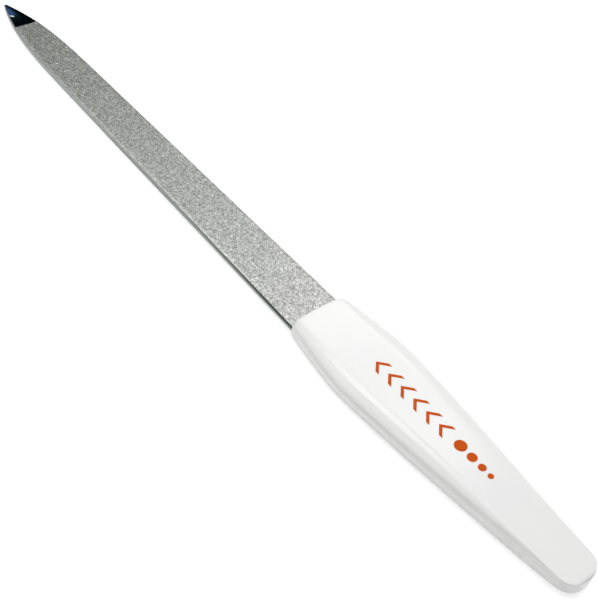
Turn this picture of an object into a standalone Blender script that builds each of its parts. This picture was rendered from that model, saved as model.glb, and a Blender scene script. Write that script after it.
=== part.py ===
"""Sapphire nail file: a grit-coated steel blade held in a moulded plastic handle.

The file lies along X, its point at -X and the butt of its handle at +X.
The origin is the middle of its footprint, on the surface that it lies on.
Lengths are metres. Distances called "along" run from the tip of the blade.
"""
import math

import bmesh
import bpy
from mathutils import Matrix, Vector

MM = 0.001

# Steel blank, seen from above
BLADE_LENGTH = 109.8 * MM
BLADE_WIDTH_AT_HANDLE = 12 * MM
BLADE_WIDTH_AT_POINT = 9 * MM
POINT_LENGTH = 30 * MM
POINT_CURVE = 3.25
TIP_WIDTH = 0.6 * MM
ROOT_LENGTH = 6 * MM
TANG_WIDTH = 7.4 * MM
TANG_END_WIDTH = 5 * MM
TANG_LENGTH = 40 * MM
TANG_SHOULDER = 1.5 * MM
TANG_HOLE_DIAMETER = 3.2 * MM
TANG_HOLE_FROM_ROOT = 8 * MM
TANG_HOLE_PITCH = 20 * MM
TANG_HOLE_COUNT = 2

# Steel blank, seen from the side
STEEL_THICKNESS = 1 * MM
TIP_THICKNESS = 0.5 * MM
EDGE_CHAMFER = 0.2 * MM
BARE_TIP_LENGTH = 8.8 * MM

# Abrasive on each face of the blade
BOND_THICKNESS = 0.05 * MM
GRIT_THICKNESS = 0.1 * MM
BOND_EDGE_MARGIN = 0.2 * MM
GRIT_EDGE_MARGIN = 0.25 * MM
COAT_INSIDE_HANDLE = 4 * MM

# Handle, seen from above
HANDLE_LENGTH = 70.2 * MM
COLLAR_WIDTH = 13.6 * MM
FRONT_BULGE = 0.4 * MM
FRONT_BULGE_REACH = 8 * MM
FRONT_EDGE_ROUND = 0.3 * MM
HANDLE_WIDTH = 18.2 * MM
WIDEST_FROM_COLLAR = 15.6 * MM
SWELL_CURVE = 1.3
TAPER_CURVE = 1.36
BUTT_WIDTH = 8.2 * MM
BUTT_ROUNDING = 3.4 * MM
BUTT_PLAN_CURVE = 2.1
BUTT_SIDE_CURVE = 4

# Handle, seen from the side; heights are above the surface that it lies on
BLADE_HEIGHT = 1.5 * MM
PARTING_HEIGHT = 1.9 * MM
CREST_HEIGHT = 4.85 * MM
CREST_FROM_COLLAR = 24 * MM
COLLAR_TOP_HEIGHT = 4.05 * MM
BUTT_TOP_HEIGHT = 4.5 * MM
COLLAR_UNDERSIDE_HEIGHT = 0.3 * MM
BUTT_UNDERSIDE_HEIGHT = 0.7 * MM
FLAT_FROM_COLLAR = 12 * MM
FLAT_FROM_BUTT = 14 * MM
CREST_CURVE = 2
PLATEAU_SHARE = 0.5
BUTT_PLATEAU_SHARE = 0.66
COLLAR_SHOULDER = 1.2 * MM
COLLAR_SHOULDER_CURVE = 4
UPPER_SHOULDER_CURVE = 2.3
LOWER_SHOULDER_CURVE = 1.6
SHOULDER_REACH = 16 * MM

# Fits between the handle and the blank
SIDE_GAP = 0.15 * MM
FACE_GAP = 0.1 * MM
STUD_ROOT = 0.4 * MM
OVERRUN = 1 * MM

# Fineness of the curved surfaces
POINT_STEPS = 18
SHOULDER_STEPS = 8
HOLE_SIDES = 32
TANG_END_STEPS = 8
FRONT_STEPS = 3
SWELL_STEPS = 9
TAPER_STEPS = 13
BUTT_STEPS = 7
BUTT_END_SHARE = 0.995
SMOOTH_ANGLE = math.radians(35)

# Places that follow from the sizes above
HALF_LENGTH = (BLADE_LENGTH + HANDLE_LENGTH) / 2
ROOT_END = BLADE_LENGTH + ROOT_LENGTH
STEEL_TOP = STEEL_THICKNESS / 2
COAT_THICKNESS = BOND_THICKNESS + GRIT_THICKNESS


def clear_scene():
    """Remove what the opened file holds."""
    for thing in list(bpy.data.objects):
        bpy.data.objects.remove(thing, do_unlink=True)


def make_material(name, colour, roughness, metallic):
    """Return a Principled material in one colour."""
    material = bpy.data.materials.new(name)
    material.use_nodes = True
    shader = material.node_tree.nodes["Principled BSDF"]
    shader.inputs["Base Color"].default_value = (*colour, 1)
    shader.inputs["Roughness"].default_value = roughness
    shader.inputs["Metallic"].default_value = metallic
    material.diffuse_color = (*colour, 1)
    return material


def make_object(name, bm, parent, material=None):
    """Turn a bmesh into a smooth-shaded object under its parent."""
    bmesh.ops.recalc_face_normals(bm, faces=bm.faces)
    mesh = bpy.data.meshes.new(name)
    bm.to_mesh(mesh)
    bm.free()
    mesh.shade_smooth()
    mesh.set_sharp_from_angle(angle=SMOOTH_ANGLE)
    thing = bpy.data.objects.new(name, mesh)
    bpy.context.scene.collection.objects.link(thing)
    thing.parent = parent
    if material:
        mesh.materials.append(material)
    return thing


def make_tool(name, bm, parent):
    """Make an object that only cuts or joins another one."""
    tool = make_object(name, bm, parent)
    tool.hide_render = True
    tool.display_type = "WIRE"
    return tool


def add_boolean(thing, tool, operation):
    """Cut a tool out of an object, or join it to the object."""
    boolean = thing.modifiers.new(tool.name, "BOOLEAN")
    boolean.operation = operation
    boolean.solver = "EXACT"
    boolean.object = tool


def blade_half_width(along):
    """Return half the blade's width: straight sides, then a leaf-shaped point."""
    taper = (along - POINT_LENGTH) / (BLADE_LENGTH - POINT_LENGTH)
    width = BLADE_WIDTH_AT_POINT + (BLADE_WIDTH_AT_HANDLE - BLADE_WIDTH_AT_POINT) * taper
    if along < POINT_LENGTH:
        fall = (1 - along / POINT_LENGTH) ** POINT_CURVE
        width -= (width - TIP_WIDTH) * fall
    return width / 2


def blade_edge(start, end):
    """Return places along the blade's edge, close together on the curved point."""
    curved = [POINT_LENGTH * step / POINT_STEPS for step in range(POINT_STEPS + 1)]
    return [start] + [along for along in curved if start < along < end] + [end]


def blade_side(start, end, margin):
    """Return one side of the blade's outline, a margin inside its edge."""
    return [(along, blade_half_width(along) - margin) for along in blade_edge(start, end)]


def root_side(grow):
    """Return the side of the blank's wide root, inside the handle."""
    half = blade_half_width(BLADE_LENGTH) + grow
    return [(ROOT_END + grow, half)]


def tang_side(grow):
    """Return the side of the tang, from its shoulder to its round end."""
    neck = TANG_WIDTH / 2 + grow
    tip_radius = TANG_END_WIDTH / 2 + grow
    centre = ROOT_END + TANG_LENGTH - TANG_END_WIDTH / 2
    side = [(ROOT_END + grow, neck + TANG_SHOULDER), (ROOT_END + TANG_SHOULDER + grow, neck)]
    for step in range(TANG_END_STEPS + 1):
        angle = math.pi / 2 * (1 - step / TANG_END_STEPS)
        side.append((centre + tip_radius * math.cos(angle), tip_radius * math.sin(angle)))
    return side


def mirrored_outline(side):
    """Return a closed outline from the points of its left-hand side."""
    off_axis = [(along, across) for along, across in side if across > 0]
    return side + [(along, -across) for along, across in reversed(off_axis)]


def plate(outline, low, high):
    """Return a flat plate as a bmesh: an outline raised between two heights."""
    bm = bmesh.new()
    corners = [bm.verts.new((along, across, low)) for along, across in outline]
    face = bm.faces.new(corners)
    grown = bmesh.ops.extrude_face_region(bm, geom=[face])["geom"]
    raised = [part for part in grown if isinstance(part, bmesh.types.BMVert)]
    bmesh.ops.translate(bm, verts=raised, vec=(0, 0, high - low))
    return bm


def cylinder(along, diameter, low, high):
    """Return an upright cylinder as a bmesh, at a place along the blade."""
    bm = bmesh.new()
    place = Matrix.Translation((along, 0, (low + high) / 2))
    bmesh.ops.create_cone(bm, cap_ends=True, segments=HOLE_SIDES, radius1=diameter / 2,
                          radius2=diameter / 2, depth=high - low, matrix=place)
    return bm


def tang_holes():
    """Return the places of the holes through the tang."""
    first = ROOT_END + TANG_HOLE_FROM_ROOT
    return [first + TANG_HOLE_PITCH * number for number in range(TANG_HOLE_COUNT)]


def chamfer_rims(bm, width):
    """Take the corner off the upper and lower rim of a plate."""
    top = max(vert.co.z for vert in bm.verts)
    bottom = min(vert.co.z for vert in bm.verts)
    rims = [edge for edge in bm.edges
            if edge.verts[0].co.z == edge.verts[1].co.z and edge.verts[0].co.z in (top, bottom)]
    bmesh.ops.bevel(bm, geom=rims, offset=width, offset_type="OFFSET", segments=1,
                    profile=0.5, affect="EDGES", material=-1)


def thin_the_tip(bm):
    """Grind the bare tip to a wedge, thinnest at its end."""
    bmesh.ops.bisect_plane(bm, geom=bm.verts[:] + bm.edges[:] + bm.faces[:],
                           plane_co=(BARE_TIP_LENGTH, 0, 0), plane_no=(1, 0, 0))
    thin_share = TIP_THICKNESS / STEEL_THICKNESS
    for vert in bm.verts:
        if vert.co.x < BARE_TIP_LENGTH:
            vert.co.z *= thin_share + (1 - thin_share) * vert.co.x / BARE_TIP_LENGTH


def make_steel_blank(parent, material):
    """Stamp the blade, its root and its tang from one steel strip."""
    side = blade_side(0, BLADE_LENGTH, 0) + root_side(0) + tang_side(0)
    bm = plate(mirrored_outline(side), -STEEL_TOP, STEEL_TOP)
    chamfer_rims(bm, EDGE_CHAMFER)
    thin_the_tip(bm)
    blank = make_object("steel_blank", bm, parent, material)
    for number, along in enumerate(tang_holes(), start=1):
        drill = cylinder(along, TANG_HOLE_DIAMETER, -STEEL_TOP - OVERRUN, STEEL_TOP + OVERRUN)
        add_boolean(blank, make_tool(f"tang_drill_{number}", drill, parent), "DIFFERENCE")
    return blank


def make_coat(name, margin, low, high, parent, material):
    """Lay one abrasive layer on a face of the blade, up into the handle."""
    side = blade_side(BARE_TIP_LENGTH, BLADE_LENGTH, margin)
    side.append((BLADE_LENGTH + COAT_INSIDE_HANDLE, side[-1][1]))
    return make_object(name, plate(mirrored_outline(side), low, high), parent, material)


def make_coats(parent, bond_material, grit_material):
    """Lay a bond coat and its sapphire grit on both faces of the blade."""
    bond_top = STEEL_TOP + BOND_THICKNESS
    grit_top = STEEL_TOP + COAT_THICKNESS
    make_coat("upper_bond_coat", BOND_EDGE_MARGIN, STEEL_TOP, bond_top, parent, bond_material)
    make_coat("lower_bond_coat", BOND_EDGE_MARGIN, -bond_top, -STEEL_TOP, parent, bond_material)
    make_coat("upper_sapphire_grit", GRIT_EDGE_MARGIN, bond_top, grit_top, parent, grit_material)
    make_coat("lower_sapphire_grit", GRIT_EDGE_MARGIN, -grit_top, -bond_top, parent, grit_material)


def ease(value, curve):
    """Return 0 at value 0 and 1 at value 1, levelling out at the end."""
    return 1 - (1 - min(value, 1)) ** curve


def handle_half_width(back):
    """Return half the handle's width at a distance behind its front."""
    if back < WIDEST_FROM_COLLAR:
        swell = ease(back / WIDEST_FROM_COLLAR, SWELL_CURVE)
        return (COLLAR_WIDTH + (HANDLE_WIDTH - COLLAR_WIDTH) * swell) / 2
    taper = (back - WIDEST_FROM_COLLAR) / (HANDLE_LENGTH - WIDEST_FROM_COLLAR)
    return (HANDLE_WIDTH - (HANDLE_WIDTH - BUTT_WIDTH) * taper ** TAPER_CURVE) / 2


def handle_top(back):
    """Return the height of the handle's upper face above its parting line."""
    if back < CREST_FROM_COLLAR:
        height = COLLAR_TOP_HEIGHT
        height += (CREST_HEIGHT - COLLAR_TOP_HEIGHT) * ease(back / CREST_FROM_COLLAR, CREST_CURVE)
    else:
        fall = (back - CREST_FROM_COLLAR) / (HANDLE_LENGTH - CREST_FROM_COLLAR)
        height = CREST_HEIGHT - (CREST_HEIGHT - BUTT_TOP_HEIGHT) * fall ** CREST_CURVE
    return height - PARTING_HEIGHT


def handle_depth(back):
    """Return the depth of the handle's underside below its parting line."""
    raised = 0
    flat_end = HANDLE_LENGTH - FLAT_FROM_BUTT
    if back < FLAT_FROM_COLLAR:
        raised = COLLAR_UNDERSIDE_HEIGHT * (1 - back / FLAT_FROM_COLLAR) ** CREST_CURVE
    elif back > flat_end:
        raised = BUTT_UNDERSIDE_HEIGHT * ((back - flat_end) / FLAT_FROM_BUTT) ** CREST_CURVE
    return PARTING_HEIGHT - raised


def shoulder_points(flat, half_width, rise, curve):
    """Return a round shoulder's points, from the handle's side to its flat face."""
    points = []
    for step in range(SHOULDER_STEPS + 1):
        turn = math.pi / 2 * step / SHOULDER_STEPS
        out = math.cos(turn) ** (2 / curve) if step < SHOULDER_STEPS else 0
        points.append((flat + (half_width - flat) * out, rise * math.sin(turn) ** (2 / curve)))
    return points


def section_points(back, half_width, top, depth):
    """Return a cross-section: square at the collar, with round shoulders further back."""
    soften = ease(back / SHOULDER_REACH, CREST_CURVE)
    tapered = max((back - WIDEST_FROM_COLLAR) / (HANDLE_LENGTH - WIDEST_FROM_COLLAR), 0)
    plateau = PLATEAU_SHARE + (BUTT_PLATEAU_SHARE - PLATEAU_SHARE) * tapered
    shoulder = COLLAR_SHOULDER + (half_width * (1 - plateau) - COLLAR_SHOULDER) * soften
    upper_curve = COLLAR_SHOULDER_CURVE + (UPPER_SHOULDER_CURVE - COLLAR_SHOULDER_CURVE) * soften
    lower_curve = COLLAR_SHOULDER_CURVE + (LOWER_SHOULDER_CURVE - COLLAR_SHOULDER_CURVE) * soften
    above = shoulder_points(half_width - shoulder, half_width, top, upper_curve)
    below = shoulder_points(half_width - shoulder, half_width, -depth, lower_curve)[1:]
    upper = above + [(-across, height) for across, height in reversed(above)]
    lower = [(-across, height) for across, height in below] + below[::-1]
    return upper + lower


def spaced(start, end, steps):
    """Return evenly spaced places from start up to, but not at, end."""
    return [start + (end - start) * step / steps for step in range(steps)]


def handle_stations():
    """Return the places of the handle's cross-sections, behind its front."""
    butt_start = HANDLE_LENGTH - BUTT_ROUNDING
    turns = [math.pi / 2 * step / BUTT_STEPS for step in range(BUTT_STEPS + 1)]
    front = [FRONT_EDGE_ROUND * (1 - math.cos(math.pi / 2 * step / FRONT_STEPS))
             for step in range(FRONT_STEPS)]
    swell = spaced(FRONT_EDGE_ROUND, WIDEST_FROM_COLLAR, SWELL_STEPS)
    taper = spaced(WIDEST_FROM_COLLAR, butt_start, TAPER_STEPS)
    butt = [butt_start + BUTT_ROUNDING * BUTT_END_SHARE * math.sin(turn) for turn in turns]
    return front + swell + taper + butt


def rounded_front(back):
    """Return how far the handle's skin draws in at its rounded front edge."""
    if back >= FRONT_EDGE_ROUND:
        return 0
    return FRONT_EDGE_ROUND - math.sqrt(FRONT_EDGE_ROUND ** 2 - (FRONT_EDGE_ROUND - back) ** 2)


def rounded_butt(back, curve):
    """Return the share of its full size that the handle has near its butt."""
    into_butt = (back - HANDLE_LENGTH + BUTT_ROUNDING) / BUTT_ROUNDING
    return (1 - max(into_butt, 0) ** curve) ** (1 / curve)


def handle_ring(back):
    """Return the corners of one cross-section of the handle."""
    drawn_in = rounded_front(back)
    low_share = rounded_butt(back, BUTT_SIDE_CURVE)
    half_width = handle_half_width(back) * rounded_butt(back, BUTT_PLAN_CURVE) - drawn_in
    top = handle_top(back) * low_share - drawn_in
    depth = handle_depth(back) * low_share - drawn_in
    fade = max(1 - back / FRONT_BULGE_REACH, 0) ** 2
    ring = []
    for across, height in section_points(back, half_width, top, depth):
        bulge = FRONT_BULGE * fade * (1 - (across / half_width) ** 2)
        ring.append(Vector((BLADE_LENGTH + back - bulge, across, height)))
    return ring


def extrude_ring(bm, ring, places):
    """Extrude a closed ring of corners to new places and return the new ring."""
    edges = [bm.edges.get((ring[number - 1], ring[number])) for number in range(len(ring))]
    made = set(bmesh.ops.extrude_edge_only(bm, edges=edges)["geom"])
    following = []
    for corner, place in zip(ring, places):
        ahead = [edge.other_vert(corner) for edge in corner.link_edges]
        moved = next(vert for vert in ahead if vert in made)
        following.append(moved)
        moved.co = place
    return following


def handle_skin():
    """Loft the handle's outer surface through its cross-sections."""
    rings = [handle_ring(back) for back in handle_stations()]
    bm = bmesh.new()
    ring = [bm.verts.new(place) for place in rings[0]]
    bm.faces.new(ring)
    for places in rings[1:]:
        ring = extrude_ring(bm, ring, places)
    bm.faces.new(ring)
    bmesh.ops.translate(bm, verts=bm.verts, vec=(0, 0, PARTING_HEIGHT - BLADE_HEIGHT))
    return bm


def make_handle(parent, material):
    """Mould the handle round the blank, with studs through the tang's holes."""
    handle = make_object("handle", handle_skin(), parent, material)
    root_reach = STEEL_TOP + COAT_THICKNESS + FACE_GAP
    root = root_side(SIDE_GAP)
    mouth = [(BLADE_LENGTH - FRONT_BULGE - OVERRUN, root[0][1])]
    root_pocket = plate(mirrored_outline(mouth + root), -root_reach, root_reach)
    add_boolean(handle, make_tool("root_pocket", root_pocket, parent), "DIFFERENCE")
    tang_reach = STEEL_TOP + FACE_GAP
    tang = tang_side(SIDE_GAP)
    mouth = [(ROOT_END - OVERRUN, tang[0][1])]
    tang_pocket = plate(mirrored_outline(mouth + tang), -tang_reach, tang_reach)
    add_boolean(handle, make_tool("tang_pocket", tang_pocket, parent), "DIFFERENCE")
    stud_reach = tang_reach + STUD_ROOT
    for number, along in enumerate(tang_holes(), start=1):
        stud = cylinder(along, TANG_HOLE_DIAMETER - 2 * SIDE_GAP, -stud_reach, stud_reach)
        add_boolean(handle, make_tool(f"stud_{number}", stud, parent), "UNION")
    return handle


def main():
    """Build the nail file."""
    clear_scene()
    steel = make_material("bare_steel", (0.34, 0.35, 0.37), 0.2, 1)
    bond = make_material("bond_coat", (0.42, 0.42, 0.4), 0.6, 0.3)
    grit = make_material("sapphire_grit", (0.4, 0.42, 0.4), 0.75, 0.1)
    plastic = make_material("white_plastic", (0.9, 0.9, 0.89), 0.25, 0)
    nail_file = bpy.data.objects.new("nail_file", None)
    nail_file.location = (-HALF_LENGTH, 0, BLADE_HEIGHT)
    bpy.context.scene.collection.objects.link(nail_file)
    make_steel_blank(nail_file, steel)
    make_coats(nail_file, bond, grit)
    make_handle(nail_file, plastic)


main()
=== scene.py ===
"""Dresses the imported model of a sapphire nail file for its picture.

The file lies along x, with its point at -x and the butt of its handle at +x, and z is up from the
surface that it lies on. Size fields are in millimetres, except the studio's, which say so. Every
distance called "along" runs from the tip of the blade, and "back" from the front of the handle's
collar. A finish's pairs of numbers say where a smooth step starts and where it ends.
"""
import logging
import math
from dataclasses import dataclass
from enum import Enum
from typing import Any, Iterable, Optional, Sequence, Union

import bmesh
import bpy
from mathutils import Matrix, Quaternion, Vector, noise


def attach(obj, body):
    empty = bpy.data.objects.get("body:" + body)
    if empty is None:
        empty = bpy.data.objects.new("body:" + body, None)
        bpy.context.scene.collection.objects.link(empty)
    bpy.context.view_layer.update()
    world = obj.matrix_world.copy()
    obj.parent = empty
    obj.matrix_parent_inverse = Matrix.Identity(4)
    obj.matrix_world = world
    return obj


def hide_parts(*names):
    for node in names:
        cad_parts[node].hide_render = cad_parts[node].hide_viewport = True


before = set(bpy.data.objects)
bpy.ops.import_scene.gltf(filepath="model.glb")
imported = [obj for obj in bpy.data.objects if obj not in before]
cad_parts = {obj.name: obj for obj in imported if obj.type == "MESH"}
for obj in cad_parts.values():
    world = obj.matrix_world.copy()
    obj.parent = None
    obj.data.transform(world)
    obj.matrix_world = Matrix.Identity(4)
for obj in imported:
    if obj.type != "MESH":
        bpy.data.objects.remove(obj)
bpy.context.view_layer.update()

BODY = "root"
MM = 0.001
TIP_X = -90.0
QUARTER_TURN = math.pi / 2
CREASE_ANGLE = 40.0
NO_CREASE = 180.0
WELD = 0.00001
MIDDLE = 0.5
SOFT_DETAIL = 2.0
FINE_DETAIL = 3.0
LOG = logging.getLogger("nail_file")

Colour = tuple[float, float, float]
Point = tuple[float, float, float]
Pair = tuple[float, float]
Stops = tuple[tuple[float, Colour], ...]


class Slot(Enum):
    """Material slot names for the grit and the plastic, which nothing here uses."""

    GRIT = "sapphire_grit"
    PLASTIC = "white_plastic"


class Side(Enum):
    """The two faces of the blade, by the sign of their height."""

    UPPER = 1
    LOWER = -1


# Node graphs


class Value:
    """A number that varies over a surface: one node socket with Python's arithmetic."""

    def __init__(self, graph: "Graph", socket: bpy.types.NodeSocket) -> None:
        """Keep the socket and the graph that it belongs to."""
        self.graph = graph
        self.socket = socket

    def _math(self, operation: str, *terms: "Term") -> "Value":
        """Return the result of one Math node on these terms."""
        return self.graph.value("ShaderNodeMath", {"operation": operation}, dict(enumerate(terms)))

    def __add__(self, other: "Term") -> "Value":
        """Return self + other."""
        return self._math("ADD", self, other)

    def __radd__(self, other: "Term") -> "Value":
        """Return other + self."""
        return self._math("ADD", other, self)

    def __sub__(self, other: "Term") -> "Value":
        """Return self - other."""
        return self._math("SUBTRACT", self, other)

    def __rsub__(self, other: "Term") -> "Value":
        """Return other - self."""
        return self._math("SUBTRACT", other, self)

    def __mul__(self, other: "Term") -> "Value":
        """Return self * other."""
        return self._math("MULTIPLY", self, other)

    def __rmul__(self, other: "Term") -> "Value":
        """Return other * self."""
        return self._math("MULTIPLY", other, self)

    def __truediv__(self, other: "Term") -> "Value":
        """Return self / other."""
        return self._math("DIVIDE", self, other)

    def __pow__(self, other: "Term") -> "Value":
        """Return self to the power of other."""
        return self._math("POWER", self, other)

    def __abs__(self) -> "Value":
        """Return the value without its sign."""
        return self._math("ABSOLUTE", self)

    def limited(self) -> "Value":
        """Return the value, held between 0 and 1."""
        return self.graph.value("ShaderNodeClamp", {}, {0: self})

    def step(self, low: float, high: float) -> "Value":
        """Return a smooth step that is 0 at low and 1 at high.

        Args:
            low: the value where the step starts.
            high: the value where the step ends; below low, the step falls.

        Returns:
            A value from 0 to 1.
        """
        ends = {0: self, 1: low, 2: high, 3: 0.0, 4: 1.0}
        if low > high:
            ends = {0: self, 1: high, 2: low, 3: 1.0, 4: 0.0}
        return self.graph.value("ShaderNodeMapRange", {"interpolation_type": "SMOOTHSTEP"}, ends)


Term = Union[Value, float]
Source = Union[Value, bpy.types.NodeSocket, float, int, Sequence[float]]


class Graph:
    """Builds a node tree out of plain calls."""

    def __init__(self, tree: bpy.types.NodeTree) -> None:
        """Start from an empty tree."""
        self.tree = tree
        tree.nodes.clear()

    def node(self, kind: str, settings: dict[str, Any], inputs: dict[Any, Source]) -> bpy.types.Node:
        """Add one node.

        Args:
            kind: the node's type.
            settings: its own settings, set first; "stops" is a colour ramp's list of stops.
            inputs: a number, a colour or a link for each named or numbered socket.

        Returns:
            The new node.
        """
        made = self.tree.nodes.new(kind)
        for name, setting in settings.items():
            if name == "stops":
                self._set_stops(made.color_ramp, setting)
            else:
                setattr(made, name, setting)
        for name, source in inputs.items():
            if isinstance(source, Value):
                self.tree.links.new(source.socket, made.inputs[name])
            elif isinstance(source, bpy.types.NodeSocket):
                self.tree.links.new(source, made.inputs[name])
            elif isinstance(source, tuple) and len(source) == 3 and made.inputs[name].type == "RGBA":
                made.inputs[name].default_value = (*source, 1.0)
            else:
                made.inputs[name].default_value = source
        return made

    @staticmethod
    def _set_stops(ramp: bpy.types.ColorRamp, stops: Stops) -> None:
        """Give a colour ramp its stops.

        Args:
            ramp: the ramp, which starts with two stops.
            stops: the place and the colour of each stop, in order of place.
        """
        while len(ramp.elements) < len(stops):
            ramp.elements.new(1.0)
        for element, (place, colour) in zip(ramp.elements, stops):
            element.position = place
            element.color = (*colour, 1.0)

    def value(self, kind: str, settings: dict[str, Any], inputs: dict[Any, Source],
              output: Union[int, str] = 0) -> Value:
        """Add one node and return one of its outputs as a value."""
        return Value(self, self.node(kind, settings, inputs).outputs[output])

    def times(self, vector: bpy.types.NodeSocket, gain: Term) -> bpy.types.NodeSocket:
        """Return a vector or a colour times a number."""
        made = self.node("ShaderNodeVectorMath", {"operation": "SCALE"}, {0: vector, "Scale": gain})
        return made.outputs[0]

    def place(self) -> bpy.types.NodeSocket:
        """Return the place on the object, in millimetres."""
        return self.times(self.node("ShaderNodeTexCoord", {}, {}).outputs["Object"], 1 / MM)

    def parts(self, vector: bpy.types.NodeSocket) -> tuple[Value, ...]:
        """Return a vector's three numbers."""
        split = self.node("ShaderNodeSeparateXYZ", {}, {0: vector})
        return tuple(Value(self, output) for output in split.outputs)

    def stretched(self, vector: bpy.types.NodeSocket, scale: Point) -> bpy.types.NodeSocket:
        """Return a vector with each axis scaled."""
        made = self.node("ShaderNodeMapping", {}, {"Vector": vector, "Scale": scale})
        return made.outputs[0]

    def noise(self, vector: bpy.types.NodeSocket, size: float, detail: float = SOFT_DETAIL,
              roughness: float = 0.5) -> Value:
        """Return noise from 0 to 1 whose blotches are about size millimetres across."""
        return self.value("ShaderNodeTexNoise", {}, {"Vector": vector, "Scale": 1 / size, "Detail": detail,
                                                     "Roughness": roughness})

    def mix(self, share: Source, first: Source, second: Source) -> bpy.types.NodeSocket:
        """Return a colour that is first at share 0 and second at share 1."""
        made = self.node("ShaderNodeMix", {"data_type": "RGBA"}, {0: share, 6: first, 7: second})
        return made.outputs[2]

    def ramp(self, share: Source, stops: Stops) -> bpy.types.NodeSocket:
        """Return a colour ramp's colour at a share from 0 to 1."""
        return self.node("ShaderNodeValToRGB", {"stops": stops}, {0: share}).outputs[0]

    def bump(self, height: Value, depth: float,
             under: Optional[bpy.types.NodeSocket] = None) -> bpy.types.NodeSocket:
        """Return the normal of a rough surface.

        Args:
            height: its relief, from 0 to 1.
            depth: the millimetres that a height of 1 stands for.
            under: the normal of a coarser relief that it lies on, if any.

        Returns:
            The normal.
        """
        inputs = {"Height": height, "Distance": depth * MM}
        if under is not None:
            inputs["Normal"] = under
        return self.node("ShaderNodeBump", {}, inputs).outputs[0]


def blank_material(title: str) -> tuple[bpy.types.Material, Graph]:
    """Make a material that has no nodes yet.

    Args:
        title: its name.

    Returns:
        The material and its graph.
    """
    made = bpy.data.materials.new(title)
    made.use_nodes = True
    return made, Graph(made.node_tree)


# Finishes


class Finish:
    """What a surface is made of. A finish paints one material's node graph."""

    title = "finish"

    def paint(self, graph: Graph) -> dict[str, Source]:
        """Return the shader's sockets."""
        raise NotImplementedError

    def material(self) -> bpy.types.Material:
        """Make a material with this finish.

        Returns:
            The material.
        """
        made, graph = blank_material(self.title)
        shader = graph.node("ShaderNodeBsdfPrincipled", {}, self.paint(graph))
        graph.node("ShaderNodeOutputMaterial", {}, {"Surface": shader.outputs[0]})
        return made


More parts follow.
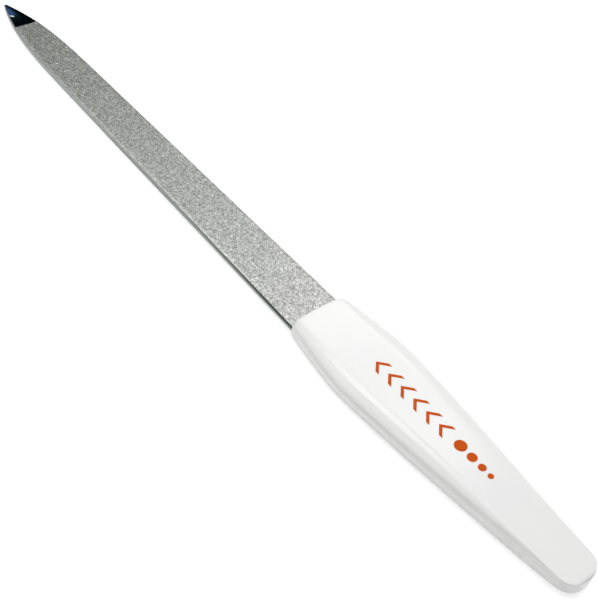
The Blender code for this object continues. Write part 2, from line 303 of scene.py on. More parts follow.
@dataclass(frozen=True)
class BareSteel(Finish):
    """Hardened steel, with painted reflections and a painted glint at the bare point, and painted
    reflection and shade on rims and sides that darken to the handle.
    """

    mid_height: float = 1.5
    half_thickness: float = 0.5
    tip_half_thickness: float = 0.25
    bare_length: float = 8.8
    blade_length: float = 110.0
    chamfer_from: Pair = (0.58, 0.62)
    face_from: Pair = (0.97, 0.985)
    # The next colours are painted reflections at the bare point: nearly black, teal and blue, and the small
    # bright spot is a painted glint.
    painted_dark_reflection: Colour = (0.001, 0.0013, 0.0013)
    painted_teal_reflection: Colour = (0.004, 0.009, 0.01)
    teal_lengthwise: Pair = (7.5, 4.5)
    teal_sideways: Pair = (0.9, 0.2)
    painted_blue_reflection: Colour = (0.033, 0.08, 0.2)
    blue_reflection_start: Pair = (0.9, 2.2)
    blue_reflection_end: Pair = (5.2, 3.6)
    blue_reflection_sideways: Pair = (0.5, -0.5)
    blue_reflection_least: float = 0.4
    cloud_size: float = 0.8
    painted_glint_colour: Colour = (0.68, 0.74, 0.68)
    glint_place: Pair = (4.55, -1.04)
    glint_squeeze: Pair = (0.35, 0.8)
    glint_edge: Pair = (0.1, 0.03)
    # Painted reflection and shade: the chamfer's colour darkens from the point to nearly black at the
    # handle.
    rim: Stops = (
        (0.0, (0.36, 0.36, 0.37)), (0.3, (0.5, 0.51, 0.5)), (0.5, (0.42, 0.43, 0.42)),
        (0.75, (0.16, 0.168, 0.16)), (0.92, (0.02, 0.024, 0.02)))
    # Painted reflection and shade: the side's colour is lighter at the point and darker towards the handle.
    side: Stops = (
        (0.0, (0.5, 0.5, 0.51)), (0.3, (0.27, 0.275, 0.27)), (0.5, (0.19, 0.197, 0.19)),
        (0.75, (0.28, 0.292, 0.28)), (0.95, (0.23, 0.25, 0.23)))
    worn: Pair = (90.0, 30.0)
    worn_share: float = 0.8
    tint: Colour = (0.5, 0.53, 0.55)
    roughness: float = 0.3
    face_polish: float = 0.2
    line_stretch: Point = (0.15, 6.0, 6.0)
    line_size: float = 0.5
    line_roughness: float = 0.12
    line_depth: float = 0.003
    title = "polished_steel"

    def point_colour(self, graph: Graph, place: bpy.types.NodeSocket) -> bpy.types.NodeSocket:
        """Paint the bare point with painted reflections: nearly black, with a teal and a blue patch and one
        painted glint.

        Args:
            graph: the material's graph.
            place: the place on the object.

        Returns:
            The colour.
        """
        x, across, _ = graph.parts(place)
        along = x - TIP_X
        # Painted reflections on the bare point, and one painted glint.
        painted_teal_reflection = along.step(*self.teal_lengthwise) * across.step(*self.teal_sideways)
        cloud = graph.noise(place, self.cloud_size)
        painted_blue_reflection = along.step(*self.blue_reflection_start) * along.step(*self.blue_reflection_end)
        painted_blue_reflection = painted_blue_reflection * across.step(*self.blue_reflection_sideways) * (self.blue_reflection_least + cloud).limited()
        glint_along, glint_across = self.glint_place
        lengthwise = along - glint_along + across - glint_across
        sideways = along - glint_along - across + glint_across
        squeeze_lengthwise, squeeze_sideways = self.glint_squeeze
        reach = (lengthwise * squeeze_lengthwise) ** 2.0 + (sideways * squeeze_sideways) ** 2.0
        colour = graph.mix(painted_blue_reflection, graph.mix(painted_teal_reflection, self.painted_dark_reflection, self.painted_teal_reflection), self.painted_blue_reflection)
        return graph.mix(reach.step(*self.glint_edge), colour, self.painted_glint_colour)

    def paint(self, graph: Graph) -> dict[str, Source]:
        """Paint the blank, with grinding lines that run along it, and painted reflection and shade on its
        rims and sides.

        Args:
            graph: the material's graph.

        Returns:
            The shader's sockets.
        """
        place = graph.place()
        x, _, height = graph.parts(place)
        along = x - TIP_X
        thickening = self.half_thickness - self.tip_half_thickness
        half = self.tip_half_thickness + thickening * (along / self.bare_length).limited()
        share = abs(height - self.mid_height) / half
        chamfer = share.step(*self.chamfer_from)
        face = share.step(*self.face_from)
        # Painted reflection and shade along the chamfers and sides, by distance from the point.
        rim = graph.ramp(along / self.blade_length, self.rim)
        side = graph.ramp(along / self.blade_length, self.side)
        worn = chamfer * (1 - face) * along.step(*self.worn)
        lines = graph.noise(graph.stretched(place, self.line_stretch), self.line_size, FINE_DETAIL)
        uneven = self.line_roughness * (lines - MIDDLE)
        return {
            "Base Color": graph.mix(face, graph.mix(chamfer, side, rim), self.point_colour(graph, place)),
            "Metallic": 1 - self.worn_share * worn,
            "Specular Tint": self.tint,
            "Roughness": self.roughness - self.face_polish * face + uneven,
            "Normal": graph.bump(lines, self.line_depth),
        }


@dataclass(frozen=True)
class BondCoat(Finish):
    """The grey binder that holds the grains, seen as a thin line along the grit's edge."""

    thin: Colour = (0.3, 0.31, 0.3)
    thick: Colour = (0.46, 0.47, 0.45)
    blotch_size: float = 0.6
    blotch_edge: Pair = (0.3, 0.7)
    blotch_roughness: float = 0.2
    blotch_depth: float = 0.02
    metallic: float = 0.3
    roughness: float = 0.5
    title = "grey_binder"

    def paint(self, graph: Graph) -> dict[str, Source]:
        """Paint the coat, with blotches where it is thicker.

        Args:
            graph: the material's graph.

        Returns:
            The shader's sockets.
        """
        blotch = graph.noise(graph.place(), self.blotch_size, FINE_DETAIL)
        return {
            "Base Color": graph.mix(blotch.step(*self.blotch_edge), self.thin, self.thick),
            "Metallic": self.metallic,
            "Roughness": self.roughness + self.blotch_roughness * blotch,
            "Normal": graph.bump(blotch, self.blotch_depth),
        }


@dataclass(frozen=True)
class SapphireGrit(Finish):
    """Crushed sapphire: close-set grains, each with its own tone, with painted glints on some and painted
    light that grows towards the handle.
    """

    grain_size: float = 0.275
    dust_size: float = 0.18
    blade_length: float = 110.0
    # Partly the grains' own grey and partly painted light, which lightens them from the point to the
    # handle.
    tones_with_painted_light: Stops = (
        (0.0, (0.222, 0.227, 0.212)), (0.15, (0.259, 0.266, 0.25)), (0.45, (0.357, 0.366, 0.349)),
        (0.75, (0.462, 0.47, 0.457)), (1.0, (0.585, 0.588, 0.578)))
    dark: float = 0.28
    light: float = 1.66
    grain_contrast: float = 0.6
    dust_contrast: float = 0.7
    painted_glint_share: Pair = (0.955, 0.975)
    painted_glint_gain: float = 0.42
    point_painted_glint_gain: float = 0.8
    point_painted_glint_fade: Pair = (50.0, 20.0)
    rim_sideways: Pair = (1.0, -1.0)
    rim_light: float = 0.2
    rim_light_forward: float = 0.6
    rim_light_fade: Pair = (103.0, 92.0)
    rim_shade: float = 0.1
    metallic: float = 0.5
    roughness: float = 0.58
    glint_grain_polish: float = 0.3
    tilt_roughness: float = 0.1
    tilt_relief: float = 0.6
    dust_relief: float = 0.4
    relief_depth: float = 0.05
    title = "sapphire_grains"

    def paint(self, graph: Graph) -> dict[str, Source]:
        """Paint the grains, with painted light that lightens them towards the handle.

        Args:
            graph: the material's graph.

        Returns:
            The shader's sockets.
        """
        place = graph.place()
        x, across, _ = graph.parts(place)
        along = x - TIP_X
        grains = graph.node("ShaderNodeTexVoronoi", {}, {"Vector": place, "Scale": 1 / self.grain_size})
        tone, painted_highlight, tilt = graph.parts(grains.outputs["Color"])
        dust = graph.noise(place, self.dust_size)
        level = MIDDLE + self.grain_contrast * (tone - MIDDLE) + self.dust_contrast * (dust - MIDDLE)
        rim = graph.value("ShaderNodeAttribute", {"attribute_name": "rim"}, {}, "Fac")
        # Painted glints: some grains are made brighter in colour, more of them near the point.
        glinting_grains = painted_highlight.step(*self.painted_glint_share)
        painted_glints = (self.painted_glint_gain + self.point_painted_glint_gain * along.step(*self.point_painted_glint_fade)) * glinting_grains
        # The rim adds a painted highlight to the grit's edge at -y and painted shade at +y.
        gain = self.dark + (self.light - self.dark) * level + painted_glints + self.painted_rim_light_and_shade(along, across) * rim
        relief = 1 - Value(graph, grains.outputs["Distance"]) + self.tilt_relief * tilt
        relief = relief + self.dust_relief * dust
        uneven = self.tilt_roughness * (tilt - MIDDLE)
        return {
            # Painted light along the blade, on top of the grains' own tones.
            "Base Color": graph.times(graph.ramp(along / self.blade_length, self.tones_with_painted_light), gain),
            "Metallic": self.metallic,
            "Roughness": self.roughness - self.glint_grain_polish * glinting_grains + uneven,
            "Normal": graph.bump(relief, self.relief_depth),
        }

    def painted_rim_light_and_shade(self, along: Value, across: Value) -> Value:
        """Return the painted highlight on the grit's edge at -y, least near the collar; at +y the edge gets
        painted shade.
        """
        light = self.rim_light + self.rim_light_forward * along.step(*self.rim_light_fade)
        return across.step(*self.rim_sideways) * light - self.rim_shade


@dataclass(frozen=True)
class WhitePlastic(Finish):
    """Glossy white moulding plastic with a faintly uneven skin, a painted highlight line where the mould
    parts, and painted shade below it.
    """

    colour: Colour = (0.895, 0.895, 0.885)
    cooler: Colour = (0.882, 0.885, 0.88)
    # A painted highlight line, and painted shade below the parting line.
    painted_highlight: Colour = (0.96, 0.96, 0.955)
    shaded: Colour = (0.85, 0.855, 0.85)
    highlight_line_height: float = 2.72
    highlight_line_half: float = 0.16
    highlight_line_reach: float = 0.32
    shade_reach: float = 0.3
    cloud_stretch: Point = (0.4, 1.0, 1.0)
    cloud_size: float = 5.0
    cloud_edge: Pair = (0.3, 0.7)
    skin_size: float = 0.9
    skin_roughness: float = 0.6
    skin_depth: float = 0.006
    pit_size: float = 0.18
    pit_depth: float = 0.002
    roughness: float = 0.16
    uneven_roughness: float = 0.05
    ior: float = 1.65
    title = "glossy_white_plastic"

    def paint(self, graph: Graph) -> dict[str, Source]:
        """Paint the plastic, with painted shade under the parting line and a painted highlight line along
        it.

        Args:
            graph: the material's graph.

        Returns:
            The shader's sockets.
        """
        place = graph.place()
        cloud = graph.noise(graph.stretched(place, self.cloud_stretch), self.cloud_size, FINE_DETAIL)
        skin = graph.noise(place, self.skin_size, FINE_DETAIL, self.skin_roughness)
        pits = graph.noise(place, self.pit_size)
        above = graph.parts(place)[2] - self.highlight_line_height
        # Painted highlight: a lighter line near the parting line; below it, painted shade.
        painted_highlight_line = abs(above).step(self.highlight_line_reach, self.highlight_line_half)
        colour = graph.mix(cloud.step(*self.cloud_edge), self.cooler, self.colour)
        colour = graph.mix((above + self.highlight_line_reach).step(0.0, -self.shade_reach), colour, self.shaded)
        uneven = self.uneven_roughness * (cloud - MIDDLE) + self.uneven_roughness * (pits - MIDDLE)
        return {
            "Base Color": graph.mix(painted_highlight_line, colour, self.painted_highlight),
            "Roughness": self.roughness + uneven,
            "IOR": self.ior,
            "Normal": graph.bump(pits, self.pit_depth, graph.bump(skin, self.skin_depth)),
        }


@dataclass(frozen=True)
class OrangeInk(Finish):
    """Orange printing ink, thinner in places."""

    full: Colour = (0.62, 0.085, 0.0)
    thin: Colour = (0.68, 0.12, 0.0)
    wear_size: float = 0.35
    wear_edge: Pair = (0.45, 0.75)
    wear_roughness: float = 0.15
    wear_depth: float = 0.003
    roughness: float = 0.55
    ior: float = 1.2
    title = "orange_ink"

    def paint(self, graph: Graph) -> dict[str, Source]:
        """Paint the ink.

        Args:
            graph: the material's graph.

        Returns:
            The shader's sockets.
        """
        wear = graph.noise(graph.place(), self.wear_size, FINE_DETAIL)
        return {
            "Base Color": graph.mix(wear.step(*self.wear_edge), self.full, self.thin),
            "Roughness": self.roughness + self.wear_roughness * (wear - MIDDLE),
            "IOR": self.ior,
            "Normal": graph.bump(wear, self.wear_depth),
        }


# Mesh tools


def ease(value: float, curve: float = 2) -> float:
    """Return 0 at value 0 and 1 at value 1, levelling out at the end."""
    return 1 - (1 - min(value, 1)) ** curve


def rounded(share: float, curve: float) -> float:
    """Return 1 at share 0 and 0 at share 1, along a corner that a higher curve makes squarer."""
    return (1 - share ** curve) ** (1 / curve)


def direction(azimuth: float, elevation: float) -> Vector:
    """Return the unit vector that points towards these angles, in degrees."""
    turn, rise = math.radians(azimuth), math.radians(elevation)
    return Vector((math.sin(turn) * math.cos(rise), -math.cos(turn) * math.cos(rise), math.sin(rise)))


def fill_ring(bm: bmesh.types.BMesh, places: Sequence[Vector]) -> list[bmesh.types.BMVert]:
    """Start a skin from one closed face.

    Args:
        bm: the mesh.
        places: where the face's corners go, in order.

    Returns:
        The corners.
    """
    ring = [bm.verts.new(place) for place in places]
    bm.faces.new(ring)
    return ring


def extrude_ring(bm: bmesh.types.BMesh, ring: list[bmesh.types.BMVert],
                 places: Sequence[Vector]) -> list[bmesh.types.BMVert]:
    """Extrude a closed ring of corners to new places.

    Args:
        bm: the mesh.
        ring: the corners of the open end, in order.
        places: where the new corners go, one for each old one.

    Returns:
        The new ring, in the same order.
    """
    edges = [bm.edges.get((ring[number - 1], ring[number])) for number in range(len(ring))]
    made = set(bmesh.ops.extrude_edge_only(bm, edges=edges)["geom"])
    following = []
    for corner, place in zip(ring, places):
        moved = next(vert for vert in (edge.other_vert(corner) for edge in corner.link_edges)
                     if vert in made)
        moved.co = place
        following.append(moved)
    return following


def extrude_faces(bm: bmesh.types.BMesh) -> set[bmesh.types.BMVert]:
    """Extrude all of a mesh's faces, which makes a flat sheet a closed plate.

    Args:
        bm: the mesh.

    Returns:
        The corners of the new side.
    """
    grown = bmesh.ops.extrude_face_region(bm, geom=bm.faces[:])["geom"]
    return {part for part in grown if isinstance(part, bmesh.types.BMVert)}


def put_in_order(bm: bmesh.types.BMesh) -> None:
    """Sort a mesh's corners, edges and faces by place, because an extrusion adds them in any order.

    Args:
        bm: the mesh.
    """
    for number, vert in enumerate(sorted(bm.verts, key=lambda vert: vert.co[:])):
        vert.index = number
    bm.verts.sort()
    bm.verts.index_update()
    for parts in (bm.edges, bm.faces):
        ranked = sorted(parts, key=lambda part: sorted(vert.index for vert in part.verts))
        for number, part in enumerate(ranked):
            part.index = number
        parts.sort()


def mesh_from(name: str, bm: bmesh.types.BMesh) -> bpy.types.Mesh:
    """Turn a bmesh into a mesh.

    Args:
        name: the mesh's name.
        bm: the bmesh, which is freed.

    Returns:
        The new mesh.
    """
    mesh = bpy.data.meshes.new(name)
    bm.to_mesh(mesh)
    bm.free()
    return mesh


def add_to_scene(name: str, data: bpy.types.ID) -> bpy.types.Object:
    """Put an object into the scene.

    Args:
        name: its name.
        data: its mesh, light or camera.

    Returns:
        The new object.
    """
    made = bpy.data.objects.new(name, data)
    bpy.context.scene.collection.objects.link(made)
    return made


def finished_piece(name: str, bm: bmesh.types.BMesh, finish: Finish,
                   smooth_angle: float, stands_for: Iterable[str] = ()) -> bpy.types.Object:
    """Turn a mesh in millimetres into a piece that rides on the file.

    Args:
        name: the piece's name.
        bm: its mesh, which is freed.
        finish: what it is made of.
        smooth_angle: degrees up to which an edge is shaded smooth.
        stands_for: the CAD nodes that it replaces.

    Returns:
        The new object.
    """
    bmesh.ops.recalc_face_normals(bm, faces=bm.faces)
    bmesh.ops.scale(bm, vec=(MM, MM, MM), verts=bm.verts)
    put_in_order(bm)
    mesh = mesh_from(name, bm)
    mesh.shade_smooth()
    mesh.set_sharp_from_angle(angle=math.radians(smooth_angle))
    mesh.materials.append(finish.material())
    piece = add_to_scene(name, mesh)
    names = list(stands_for)
    if names:
        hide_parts(*names)
    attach(piece, BODY)
    return piece


def dressed_node(name: str, finish: Finish) -> bpy.types.Object:
    """Give a CAD node a new material and keep its shape.

    Args:
        name: the node's name.
        finish: what it is made of.

    Returns:
        The node.
    """
    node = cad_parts[name]
    node.data.materials.clear()
    node.data.materials.append(finish.material())
    return node


# The blade


@dataclass
class Blade:
    """The steel blank and the abrasive on both its faces. The two layers are slices of a noise field."""

    length: float = 109.8
    width_at_handle: float = 12.0
    width_at_point: float = 9.0
    point_length: float = 30.0
    point_curve: float = 3.25
    tip_width: float = 0.6
    mid_height: float = 1.5
    grit_start: float = 8.8
    skew: float = 0.085
    skew_reach: float = 12.0
    inside_handle: float = 4.0
    edge_margin: float = 0.25
    edge_raggedness: float = 0.07
    outline_from: float = 0.999
    # Width of the grit's edge that gets painted highlight or painted shade.
    painted_rim_width: float = 0.6
    bond_top: float = 0.55
    grit_top: float = 0.65
    rim_width: float = 0.3
    rim_drop: float = 0.04
    grain_pitch: float = 0.22
    grain_relief: float = 0.035
    relief_level: float = 0.5
    relief_contrast: float = 0.6
    coarse_layer: float = 7
    fine_layer: float = 3

    def half_width(self, along: float) -> float:
        """Measure the blade: straight sides, then a leaf-shaped point.

        Args:
            along: the place.

        Returns:
            Half its width.
        """
        taper = (along - self.point_length) / (self.length - self.point_length)
        width = self.width_at_point + (self.width_at_handle - self.width_at_point) * taper
        if along < self.point_length:
            fall = (1 - along / self.point_length) ** self.point_curve
            width -= (width - self.tip_width) * fall
        return width / 2

    def grain_height(self, place: Pair, from_edge: float, rough: float, side: Side) -> float:
        """Measure the rough outer face of the grit, which drops at its rim.

        Args:
            place: along and across.
            from_edge: the distance to the grit's long edge.
            rough: the coarse noise at the place, from -1 to 1.
            side: the face of the blade.

        Returns:
            The height above the middle of the steel.
        """
        fine = noise.noise(Vector((*place, self.fine_layer * side.value)) / self.grain_pitch)
        dip = self.relief_level - self.relief_contrast * rough - self.relief_contrast * fine
        rim = min(1, from_edge / self.rim_width)
        return self.grit_top - self.grain_relief * dip - self.rim_drop * (1 - rim)

    def grit(self, side: Side) -> bmesh.types.BMesh:
        """Lay one sheet of grains on a face of the blade.

        Args:
            side: the face of the blade.

        Returns:
            The sheet, as a closed plate whose outer face is rough.
        """
        reach = self.length + self.inside_handle - self.grit_start
        bm = bmesh.new()
        rim_layer = bm.verts.layers.float.new("rim")
        bmesh.ops.create_grid(bm, x_segments=round(reach / self.grain_pitch),
                              y_segments=round(self.width_at_handle / self.grain_pitch), size=1)
        outer = extrude_faces(bm)
        for vert in bm.verts:
            along = self.grit_start + reach * (vert.co.x + 1) / 2
            half = self.half_width(min(along, self.length)) - self.edge_margin
            across = vert.co.y * half
            from_edge = (1 - abs(vert.co.y)) * half
            along += self.skew * across * max(0, 1 - (along - self.grit_start) / self.skew_reach)
            # The rim layer marks the grit's edge, which gets painted highlight or painted shade.
            vert[rim_layer] = max(0, 1 - from_edge / self.painted_rim_width)
            sample = Vector((along, across, self.coarse_layer * side.value)) / self.grain_pitch
            rough = noise.noise(sample / 2)
            if abs(vert.co.y) > self.outline_from:
                across += math.copysign(self.edge_raggedness, across) * rough
            height = self.bond_top
            if vert in outer:
                height = self.grain_height((along, across), from_edge, rough, side)
            vert.co = (TIP_X + along, across, self.mid_height + side.value * height)
        return bm

    def build(self) -> list[bpy.types.Object]:
        """Dress the steel and its bond coats, and lay the grains.

        Returns:
            The pieces.
        """
        pieces = [dressed_node("steel_blank", BareSteel())]
        pieces += [dressed_node(name, BondCoat()) for name in ("upper_bond_coat", "lower_bond_coat")]
        for side, name in ((Side.UPPER, "upper"), (Side.LOWER, "lower")):
            pieces.append(finished_piece(f"{name}_grains", self.grit(side), SapphireGrit(),
                                         NO_CREASE, [f"{name}_sapphire_grit"]))
        return pieces


# The handle


@dataclass
class Handle:
    """The white moulding round the tang."""

    front: float = 109.8
    length: float = 70.2
    collar_width: float = 13.6
    front_bulge: float = 0.4
    front_bulge_reach: float = 8.0
    front_round: float = 0.3
    corner_reach: float = 1.4
    corner_inset: float = 0.6
    width: float = 18.15
    widest_at: float = 15.6
    swell_curve: float = 1.3
    taper_curve: float = 1.36
    butt_width: float = 8.0
    butt_rounding: float = 3.4
    butt_plan_curve: float = 2.3
    butt_side_curve: float = 7.0
    parting_height: float = 2.2
    crest_height: float = 4.85
    crest_at: float = 24.0
    collar_top: float = 4.05
    butt_top: float = 3.9
    collar_underside: float = 0.3
    butt_underside: float = 0.7
    flat_from_collar: float = 12.0
    flat_from_butt: float = 14.0
    plateau_share: float = 0.5
    butt_squaring: float = 0.47
    butt_squaring_curve: float = 4.5
    lower_squaring: float = 0.12
    collar_shoulder: float = 2.0
    collar_shoulder_curve: float = 2.8
    upper_shoulder_curve: float = 2.2
    lower_shoulder_curve: float = 2.4
    shoulder_reach: float = 16.0
    ledge_level: float = 0.5
    ledge_highest_part: float = 3
    ledge_edges: Pair = (0.96, 1.04)
    ledge_depth: float = 0.08
    ledge_fade: float = 1.0
    slot_half_width: float = 6.04
    slot_half_height: float = 0.74
    slot_curve: float = 14.0
    root_end: float = 6.2
    flare_length: float = 1.6
    flare_width: float = 1.5
    tang_half_width: float = 3.85
    tang_half_height: float = 0.6
    tang_end_radius: float = 2.65
    tang_end_turns: tuple[float, ...] = (84, 66, 44, 22, 0)
    tang_end: float = 46.1
    turn_steps: int = 14
    flat_steps: int = 10
    front_steps: int = 5
    long_steps: int = 160
    butt_steps: int = 14
    end_face_gap: float = 0.004

    def half_width(self, back: float) -> float:
        """Measure the handle, which swells from its collar and narrows to its butt.

        Args:
            back: the place.

        Returns:
            Half its width.
        """
        if back < self.widest_at:
            swell = ease(back / self.widest_at, self.swell_curve)
            return (self.collar_width + (self.width - self.collar_width) * swell) / 2
        taper = (back - self.widest_at) / (self.length - self.widest_at)
        return (self.width - (self.width - self.butt_width) * taper ** self.taper_curve) / 2

    def top(self, back: float) -> float:
        """Measure the upper face, which rises to a crest and falls to the butt.

        Args:
            back: the place.

        Returns:
            Its height above the parting line.
        """
        if back < self.crest_at:
            rise = (self.crest_height - self.collar_top) * ease(back / self.crest_at)
            return self.collar_top + rise - self.parting_height
        fall = (back - self.crest_at) / (self.length - self.crest_at)
        return self.crest_height - (self.crest_height - self.butt_top) * fall ** 2 - self.parting_height

    def depth(self, back: float) -> float:
        """Measure the underside, which is flat in its middle and rises at both ends.

        Args:
            back: the place.

        Returns:
            Its depth below the parting line.
        """
        raised = 0.0
        flat_end = self.length - self.flat_from_butt
        if back < self.flat_from_collar:
            raised = self.collar_underside * (1 - back / self.flat_from_collar) ** 2
        elif back > flat_end:
            raised = self.butt_underside * ((back - flat_end) / self.flat_from_butt) ** 2
        return self.parting_height - raised

    def shoulder(self, flat: float, half_width: float, rise: float, curve: float,
                 ledge: float) -> list[Pair]:
        """Shape a round shoulder, from the parting line to the middle of the flat face.

        Args:
            flat: half the width of the flat face.
            half_width: half the whole width.
            rise: the height of the flat face, below 0 for the underside.
            curve: 2 for a round shoulder, more for a square one.
            ledge: how far the shoulder steps in at the mould's ledge.

        Returns:
            Pairs of across and height, in order.
        """
        level = min(self.ledge_level, abs(rise) / self.ledge_highest_part)
        ledge_turns = [math.asin((level * share / abs(rise)) ** (curve / 2)) for share in self.ledge_edges]
        turns = [QUARTER_TURN * step / self.turn_steps for step in range(self.turn_steps)] + ledge_turns
        points = []
        for turn in sorted(turns):
            out = flat + (half_width - flat) * math.cos(turn) ** (2 / curve)
            height = abs(rise) * math.sin(turn) ** (2 / curve)
            if height > level:
                out -= ledge * max(0, 1 - (height - level) / self.ledge_fade)
            points.append((out, math.copysign(height, rise)))
        return points + [(flat * (1 - step / self.flat_steps), rise) for step in range(self.flat_steps + 1)]

    def ring(self, above: list[Pair], below: list[Pair]) -> list[Pair]:
        """Mirror the shoulders of the +y side into a whole cross-section.

        Args:
            above: the upper shoulder.
            below: the lower shoulder.

        Returns:
            Pairs of across and height, in order round the section.
        """
        upper = above + [(-across, height) for across, height in reversed(above[:-1])]
        lower = [(-across, height) for across, height in below[1:]] + below[-2:0:-1]
        return upper + lower

    def shoulder_width(self, half_width: float, squaring: float, soften: float) -> float:
        """Measure a shoulder: narrow at the collar, then a share of the handle's width.

        Args:
            half_width: half the handle's width.
            squaring: the share that the flat face gains over its usual one.
            soften: 0 at the collar, 1 where the shoulder has its full width.

        Returns:
            The width of the shoulder on one side.
        """
        round_part = half_width * (1 - self.plateau_share - squaring)
        return self.collar_shoulder + (round_part - self.collar_shoulder) * soften

    def skin_ring(self, back: float) -> list[Vector]:
        """Shape the outer skin at one place.

        Args:
            back: the place.

        Returns:
            The corners, in order round the handle.
        """
        drawn_in = 0.0
        if back < self.front_round:
            drawn_in = self.front_round - math.sqrt(self.front_round ** 2 - (self.front_round - back) ** 2)
        into_butt = max((back - self.length + self.butt_rounding) / self.butt_rounding, 0)
        plan = rounded(into_butt, self.butt_plan_curve)
        thin = rounded(into_butt, self.butt_side_curve)
        corner = max(1 - back / self.corner_reach, 0)
        half = self.half_width(back) * plan - self.corner_inset * (1 - math.sqrt(1 - corner ** 2))
        soften = ease(back / self.shoulder_reach)
        towards_butt = max((back - self.widest_at) / (self.length - self.widest_at), 0)
        squaring = self.butt_squaring * ease(towards_butt ** self.butt_squaring_curve)
        upper = self.shoulder_width(half, squaring, soften)
        lower = self.shoulder_width(half, self.lower_squaring * towards_butt, soften)
        square = self.collar_shoulder_curve
        upper_curve = square + (self.upper_shoulder_curve - square) * soften
        lower_curve = square + (self.lower_shoulder_curve - square) * soften
        top, depth = self.top(back) * thin - drawn_in, self.depth(back) * thin - drawn_in
        above = self.shoulder(half - upper, half, top, upper_curve, self.ledge_depth * plan)
        below = self.shoulder(half - lower, half, -depth, lower_curve, 0.0)
        fade = max(1 - back / self.front_bulge_reach, 0) ** 2
        return [Vector((back - self.front_bulge * fade * (1 - min(1, (across / half) ** 2)), across,
                        self.parting_height + height)) for across, height in self.ring(above, below)]

    def pocket_ring(self, back: float, half_width: float, half_height: float,
                    mouth: bool = False) -> list[Vector]:
        """Shape the slot for the blank at one place.

        Args:
            back: the place.
            half_width: half the slot's width.
            half_height: half its height.
            mouth: whether it is the opening, which follows the bulge of the collar's front.

        Returns:
            The corners, in order round the slot.
        """
        above = self.shoulder(0.0, half_width, half_height, self.slot_curve, 0.0)
        below = self.shoulder(0.0, half_width, -half_height, self.slot_curve, 0.0)
        half = self.half_width(0)
        bulge = self.front_bulge if mouth else 0.0
        return [Vector((back - bulge * (1 - (across / half) ** 2), across, Blade.mid_height + height))
                for across, height in self.ring(above, below)]

    def pocket(self) -> list[list[Vector]]:
        """Shape the whole pocket: the round end of the tang, its flare, and the slot for the root.

        Returns:
            The rings, from the pocket's end to its mouth.
        """
        centre = self.tang_end - self.tang_end_radius
        rings = []
        for turn in map(math.radians, self.tang_end_turns):
            rings.append(self.pocket_ring(centre + self.tang_end_radius * math.sin(turn),
                                          self.tang_end_radius * math.cos(turn), self.tang_half_height))
        flared = self.tang_half_width + self.flare_width
        rings.append(self.pocket_ring(self.root_end + self.flare_length, self.tang_half_width,
                                      self.tang_half_height))
        rings.append(self.pocket_ring(self.root_end, flared, self.tang_half_height))
        rings.append(self.pocket_ring(self.root_end, self.slot_half_width, self.slot_half_height))
        rings.append(self.pocket_ring(0.0, self.slot_half_width, self.slot_half_height, mouth=True))
        return rings

    def stations(self) -> list[float]:
        """List the places of the skin's cross-sections.

        Returns:
            The places, from the collar's front to the butt.
        """
        front = [self.front_round * (1 - math.cos(QUARTER_TURN * step / self.front_steps))
                 for step in range(self.front_steps)]
        butt_start = self.length - self.butt_rounding
        middle = [self.front_round + (butt_start - self.front_round) * step / self.long_steps
                  for step in range(self.long_steps)]
        butt = [butt_start + self.butt_rounding * math.sin(QUARTER_TURN * step / self.butt_steps)
                for step in range(self.butt_steps)]
        return front + middle + butt + [self.length - self.end_face_gap]

    def mesh(self) -> bmesh.types.BMesh:
        """Mould the handle in one skin: the pocket from its end to its mouth, then the outside.

        Returns:
            The closed mesh.
        """
        bm = bmesh.new()
        rings = self.pocket() + [self.skin_ring(back) for back in self.stations()]
        ring = fill_ring(bm, rings[0])
        for places in rings[1:]:
            ring = extrude_ring(bm, ring, places)
        bm.faces.new(ring)
        bmesh.ops.remove_doubles(bm, verts=bm.verts, dist=WELD)
        bmesh.ops.translate(bm, vec=(TIP_X + self.front, 0, 0), verts=bm.verts)
        return bm

    def build(self) -> list[bpy.types.Object]:
        """Make the handle and return its one piece."""
        return [finished_piece("moulded_handle", self.mesh(), WhitePlastic(), CREASE_ANGLE,
                               ["handle"])]


# The printed marks


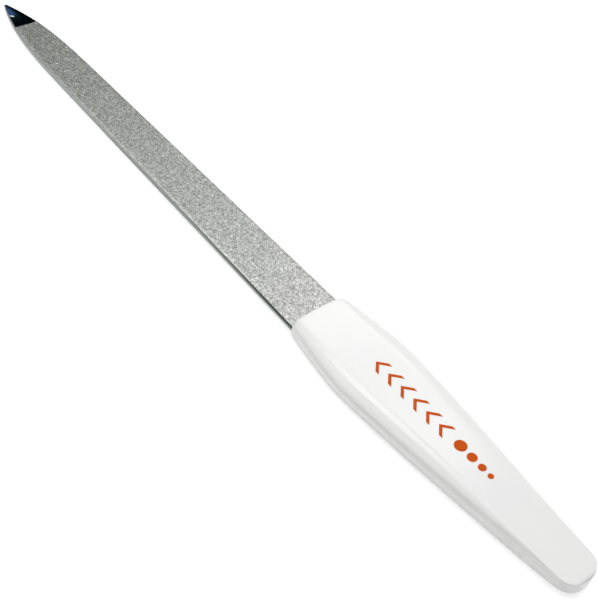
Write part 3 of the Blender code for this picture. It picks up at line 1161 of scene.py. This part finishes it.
@dataclass
class PrintedMarks:
    """Plain marks in orange ink: chevrons that point at the blade, then dots for fineness."""

    handle: Handle
    first_back: float = 15.9
    across: float = 0.2
    chevron_pitch: float = 3.4
    chevron_count: int = 6
    chevron_height: float = 3.4
    chevron_point: float = 1.75
    chevron_steps: int = 8
    stroke: float = 0.62
    first_dot_back: float = 38.5
    dot_pitches: tuple[float, ...] = (0.0, 2.95, 5.5, 7.65)
    dot_diameters: tuple[float, ...] = (2.5, 2.0, 1.6, 1.2)
    dot_steps: int = 32
    ink_thickness: float = 0.02

    def chevron(self, bm: bmesh.types.BMesh, back: float) -> None:
        """Add one chevron, a stroke bent at its middle.

        Args:
            bm: the mesh.
            back: the place of its point.
        """
        width = self.stroke * math.hypot(1, 2 * self.chevron_point / self.chevron_height)
        made = bmesh.ops.create_grid(bm, x_segments=1, y_segments=self.chevron_steps, size=0.5)["verts"]
        for vert in made:
            bend = self.chevron_point * abs(vert.co.y) * 2
            vert.co = (back + bend + (vert.co.x + 0.5) * width, vert.co.y * self.chevron_height, 0)

    def dot(self, bm: bmesh.types.BMesh, back: float, diameter: float) -> None:
        """Add one solid dot."""
        bmesh.ops.create_circle(bm, cap_ends=True, segments=self.dot_steps, radius=diameter / 2,
                                matrix=Matrix.Translation((back, 0, 0)))

    def build(self) -> list[bpy.types.Object]:
        """Print the marks on the handle's upper face.

        Returns:
            The one piece.
        """
        bm = bmesh.new()
        for number in range(self.chevron_count):
            self.chevron(bm, self.first_back + number * self.chevron_pitch)
        for pitch, diameter in zip(self.dot_pitches, self.dot_diameters):
            self.dot(bm, self.first_dot_back + pitch, diameter)
        raised = extrude_faces(bm)
        for vert in bm.verts:
            height = self.handle.parting_height + self.handle.top(vert.co.x)
            height += self.ink_thickness if vert in raised else -self.ink_thickness
            vert.co = (TIP_X + self.handle.front + vert.co.x, self.across + vert.co.y, height)
        return [finished_piece("printed_marks", bm, OrangeInk(), CREASE_ANGLE)]


# The studio


@dataclass(frozen=True)
class Lamp:
    """A soft square lamp that looks at the middle of the file, in degrees, metres and watts."""

    name: str
    azimuth: float
    elevation: float
    distance: float
    size: float
    strength: float

    def build(self) -> None:
        """Hang the lamp."""
        light = bpy.data.lights.new(self.name, "AREA")
        light.size = self.size
        light.energy = self.strength
        away = direction(self.azimuth, self.elevation)
        lamp = add_to_scene(self.name, light)
        lamp.location = away * self.distance
        lamp.rotation_mode = "QUATERNION"
        lamp.rotation_quaternion = (-away).to_track_quat("-Z", "Y")


@dataclass
class Studio:
    """A plain white floor, soft light, and the camera at the photograph's angle.

    The floor's half size and the camera's near limit are in metres, the floor's pivot and drop and
    the camera's place and sensor in millimetres. A lamp has its name, azimuth, elevation, distance,
    size and strength.
    """

    floor_half: float = 12.0
    floor_slope: float = 0.0075
    floor_pivot: float = 31.8
    floor_drop: float = 0.03
    floor_colour: Colour = (0.9, 0.9, 0.9)
    floor_lift: float = 0.52
    mirrored_lift: float = 0.62
    wall_light: float = 0.02
    ceiling_light: float = 0.26
    ceiling_from: Pair = (0.1, 0.75)
    camera_azimuth: float = 41.28
    camera_elevation: float = 46.94
    camera_roll: float = 12.41
    camera_place: Point = (134.589, -136.821, 196.338)
    camera_near: float = 0.01
    focal_pixels: float = 1400.0
    picture_height: float = 600.0
    sensor: float = 36.0
    lamps: tuple[Lamp, ...] = (
        Lamp("main_softbox", 165.0, 74.0, 1.0, 1.0, 2.95),
        Lamp("backdrop", -150.0, 17.0, 1.0, 1.1, 4.2),
        Lamp("overhead_softbox", -90.0, 84.0, 0.7, 0.6, 0.7),
        Lamp("back_softbox", -144.0, 49.5, 0.9, 0.3, 0.55),
        Lamp("side_panel", -42.0, 44.0, 0.9, 0.8, 2.6),
        Lamp("shoulder_softbox", -112.0, 66.0, 1.0, 0.3, 0.6),
        Lamp("low_fill", 75.0, 14.0, 1.0, 0.7, 1.1),
        Lamp("front_panel", 45.0, 42.0, 1.0, 0.6, 0.3),
    )

    def build_floor(self) -> None:
        """Lay the floor: it meets the front of the handle's flat and rises a little towards the blade."""
        bm = bmesh.new()
        bmesh.ops.create_grid(bm, x_segments=1, y_segments=1, size=self.floor_half)
        for vert in bm.verts:
            vert.co.z = -(vert.co.x - self.floor_pivot * MM) * self.floor_slope - self.floor_drop * MM
        mesh = mesh_from("floor", bm)
        mesh.materials.append(self.floor_material())
        add_to_scene("floor", mesh)

    def floor_material(self) -> bpy.types.Material:
        """Make a white floor that keeps shadows, and that is clear from below.

        Returns:
            Its material.
        """
        made, graph = blank_material("white_floor")
        path = graph.node("ShaderNodeLightPath", {}, {})
        camera, glossy, through = (Value(graph, path.outputs[f"Is {kind} Ray"])
                                   for kind in ("Camera", "Glossy", "Transmission"))
        paper = graph.node("ShaderNodeBsdfDiffuse", {}, {"Color": self.floor_colour})
        strength = camera * self.floor_lift + (glossy + through).limited() * self.mirrored_lift
        lift = graph.node("ShaderNodeEmission", {}, {"Strength": strength})
        lit = graph.node("ShaderNodeAddShader", {}, {0: paper.outputs[0], 1: lift.outputs[0]})
        clear = graph.node("ShaderNodeBsdfTransparent", {}, {})
        below = graph.node("ShaderNodeNewGeometry", {}, {}).outputs["Backfacing"]
        both = graph.node("ShaderNodeMixShader", {}, {0: below, 1: lit.outputs[0], 2: clear.outputs[0]})
        graph.node("ShaderNodeOutputMaterial", {}, {"Surface": both.outputs[0]})
        return made

    def build_world(self) -> None:
        """Light the studio evenly from above, and less from its walls."""
        world = bpy.data.worlds.new("studio")
        bpy.context.scene.world = world
        world.use_nodes = True
        graph = Graph(world.node_tree)
        upward = graph.parts(graph.node("ShaderNodeTexCoord", {}, {}).outputs["Generated"])[2]
        gain = self.ceiling_light - self.wall_light
        strength = self.wall_light + gain * upward.step(*self.ceiling_from)
        sky = graph.node("ShaderNodeBackground", {}, {"Strength": strength})
        graph.node("ShaderNodeOutputWorld", {}, {"Surface": sky.outputs[0]})

    def build_camera(self) -> None:
        """Set up the camera as fitted to the photograph."""
        data = bpy.data.cameras.new("camera")
        data.sensor_width = self.sensor
        data.lens = self.focal_pixels / self.picture_height * self.sensor
        data.clip_start = self.camera_near
        camera = add_to_scene("camera", data)
        camera.location = Vector(self.camera_place) * MM
        camera.rotation_mode = "QUATERNION"
        level = (-direction(self.camera_azimuth, self.camera_elevation)).to_track_quat("-Z", "Y")
        camera.rotation_quaternion = level @ Quaternion((0, 0, 1), math.radians(self.camera_roll))
        bpy.context.scene.camera = camera

    def build(self) -> None:
        """Set up the floor, the light and the camera."""
        bpy.context.scene.view_settings.view_transform = "Standard"
        self.build_floor()
        self.build_world()
        self.build_camera()
        for lamp in self.lamps:
            lamp.build()


def main() -> None:
    """Build the studio, dress the file and report each of its pieces."""
    logging.basicConfig(level=logging.INFO, format="%(message)s")
    Studio().build()
    handle = Handle()
    for part in (Blade(), handle, PrintedMarks(handle)):
        for piece in part.build():
            finish = piece.data.materials[0].name
            LOG.info("%s: %d faces in %s", piece.name, len(piece.data.polygons), finish)


if __name__ == "__main__":
    main()
